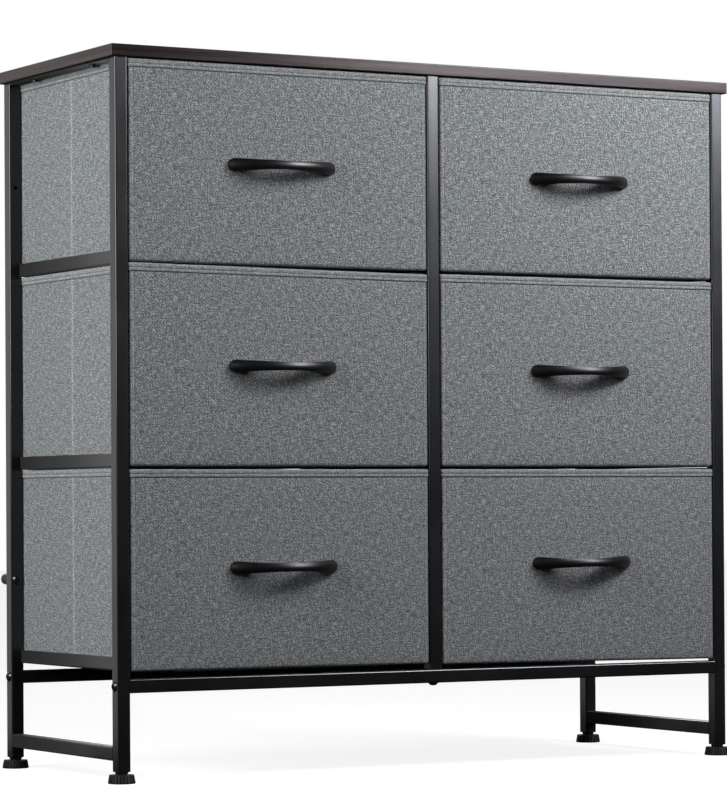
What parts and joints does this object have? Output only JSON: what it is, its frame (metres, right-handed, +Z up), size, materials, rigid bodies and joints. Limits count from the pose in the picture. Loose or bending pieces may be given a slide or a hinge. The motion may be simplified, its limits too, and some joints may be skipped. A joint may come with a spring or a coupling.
{
  "type": "fabric drawer dresser",
  "caption": "Free-standing dresser: wood top on a black square-tube frame, with pull-out fabric bins in two columns, bow handles and levelling feet.",
  "frame": {"origin": "on the floor, under the middle of the dresser", "axes": "+X to the right of a person facing the drawers, +Y to the back, +Z up"},
  "size_m": [0.807, 0.346, 0.792],
  "materials": {
    "wood_top": "dark brown wood-grain film on board, satin",
    "frame_coat": "black powder coat on steel",
    "black_bolt": "black zinc, glossy",
    "zinc_screw": "zinc plated steel",
    "tube_plug": "plain steel insert, blackened",
    "bumper_rubber": "black rubber",
    "bin_fabric": "heathered grey linen-look fabric",
    "base_board": "board in grey non-woven cloth",
    "handle_plastic": "black satin plastic",
    "foot_plastic": "black moulded plastic",
    "foot_stud": "zinc plated steel"
  },
  "bodies": {
    "frame": {"foot_inserts": "tube_plug", "frame_bolts": "black_bolt", "front_bottom_rail": "frame_coat", "left_foot_stretcher": "frame_coat", "left_front_post": "frame_coat", "left_lower_runner": "frame_coat", "left_middle_runner": "frame_coat", "left_rear_post": "frame_coat", "left_top_strip": "frame_coat", "left_upper_runner": "frame_coat", "middle_front_post": "frame_coat", "middle_lower_runner": "frame_coat", "middle_middle_runner": "frame_coat", "middle_rear_post": "frame_coat", "middle_top_strip": "frame_coat", "middle_upper_runner": "frame_coat", "rail_and_post_plugs": "tube_plug", "rear_bottom_rail": "frame_coat", "right_foot_stretcher": "frame_coat", "right_front_post": "frame_coat", "right_lower_runner": "frame_coat", "right_middle_runner": "frame_coat", "right_rear_post": "frame_coat", "right_top_strip": "frame_coat", "right_upper_runner": "frame_coat", "tabletop": "wood_top", "tabletop_screws": "zinc_screw", "wall_bumpers": "bumper_rubber"},
    "lower_left_drawer": {"lower_left_drawer_bin": "bin_fabric", "lower_left_drawer_board": "base_board", "lower_left_drawer_handle": "handle_plastic", "lower_left_drawer_handle_screws": "zinc_screw"},
    "lower_right_drawer": {"lower_right_drawer_bin": "bin_fabric", "lower_right_drawer_board": "base_board", "lower_right_drawer_handle": "handle_plastic", "lower_right_drawer_handle_screws": "zinc_screw"},
    "middle_left_drawer": {"middle_left_drawer_bin": "bin_fabric", "middle_left_drawer_board": "base_board", "middle_left_drawer_handle": "handle_plastic", "middle_left_drawer_handle_screws": "zinc_screw"},
    "middle_right_drawer": {"middle_right_drawer_bin": "bin_fabric", "middle_right_drawer_board": "base_board", "middle_right_drawer_handle": "handle_plastic", "middle_right_drawer_handle_screws": "zinc_screw"},
    "upper_left_drawer": {"upper_left_drawer_bin": "bin_fabric", "upper_left_drawer_board": "base_board", "upper_left_drawer_handle": "handle_plastic", "upper_left_drawer_handle_screws": "zinc_screw"},
    "upper_right_drawer": {"upper_right_drawer_bin": "bin_fabric", "upper_right_drawer_board": "base_board", "upper_right_drawer_handle": "handle_plastic", "upper_right_drawer_handle_screws": "zinc_screw"},
    "left_front_stud": {"left_front_foot_stud": "foot_stud"},
    "left_front_foot": {"left_front_foot_base": "foot_plastic"},
    "left_rear_stud": {"left_rear_foot_stud": "foot_stud"},
    "left_rear_foot": {"left_rear_foot_base": "foot_plastic"},
    "right_front_stud": {"right_front_foot_stud": "foot_stud"},
    "right_front_foot": {"right_front_foot_base": "foot_plastic"},
    "right_rear_stud": {"right_rear_foot_stud": "foot_stud"},
    "right_rear_foot": {"right_rear_foot_base": "foot_plastic"}
  },
  "joints": [
    {"name": "lower_left_drawer_slide", "type": "slide", "parent": "frame", "child": "lower_left_drawer", "axis": [0, -1, 0], "range_m": [0, 0.2]},
    {"name": "lower_right_drawer_slide", "type": "slide", "parent": "frame", "child": "lower_right_drawer", "axis": [0, -1, 0], "range_m": [0, 0.2]},
    {"name": "middle_left_drawer_slide", "type": "slide", "parent": "frame", "child": "middle_left_drawer", "axis": [0, -1, 0], "range_m": [0, 0.2]},
    {"name": "middle_right_drawer_slide", "type": "slide", "parent": "frame", "child": "middle_right_drawer", "axis": [0, -1, 0], "range_m": [0, 0.2]},
    {"name": "upper_left_drawer_slide", "type": "slide", "parent": "frame", "child": "upper_left_drawer", "axis": [0, -1, 0], "range_m": [0, 0.2]},
    {"name": "upper_right_drawer_slide", "type": "slide", "parent": "frame", "child": "upper_right_drawer", "axis": [0, -1, 0], "range_m": [0, 0.2]},
    {"name": "left_front_foot_turn", "type": "hinge", "parent": "left_front_stud", "child": "left_front_foot", "pos_m": [-0.3885, -0.1385, 0], "axis": [0, 0, 1], "range_deg": [-3430, 0]},
    {"name": "left_front_foot_rise", "type": "slide", "parent": "frame", "child": "left_front_stud", "axis": [0, 0, 1], "range_m": [-0.0119, 0]},
    {"name": "left_rear_foot_turn", "type": "hinge", "parent": "left_rear_stud", "child": "left_rear_foot", "pos_m": [-0.3885, 0.1385, 0], "axis": [0, 0, 1], "range_deg": [-3430, 0]},
    {"name": "left_rear_foot_rise", "type": "slide", "parent": "frame", "child": "left_rear_stud", "axis": [0, 0, 1], "range_m": [-0.0119, 0]},
    {"name": "right_front_foot_turn", "type": "hinge", "parent": "right_front_stud", "child": "right_front_foot", "pos_m": [0.3885, -0.1385, 0], "axis": [0, 0, 1], "range_deg": [-3430, 0]},
    {"name": "right_front_foot_rise", "type": "slide", "parent": "frame", "child": "right_front_stud", "axis": [0, 0, 1], "range_m": [-0.0119, 0]},
    {"name": "right_rear_foot_turn", "type": "hinge", "parent": "right_rear_stud", "child": "right_rear_foot", "pos_m": [0.3885, 0.1385, 0], "axis": [0, 0, 1], "range_deg": [-3430, 0]},
    {"name": "right_rear_foot_rise", "type": "slide", "parent": "frame", "child": "right_rear_stud", "axis": [0, 0, 1], "range_m": [-0.0119, 0]}
  ],
  "couplings": [
    {"joint": "left_front_foot_turn", "follows": "left_front_foot_rise", "rad_per_m": 5026.5},
    {"joint": "left_rear_foot_turn", "follows": "left_rear_foot_rise", "rad_per_m": 5026.5},
    {"joint": "right_front_foot_turn", "follows": "right_front_foot_rise", "rad_per_m": 5026.5},
    {"joint": "right_rear_foot_turn", "follows": "right_rear_foot_rise", "rad_per_m": 5026.5}
  ]
}
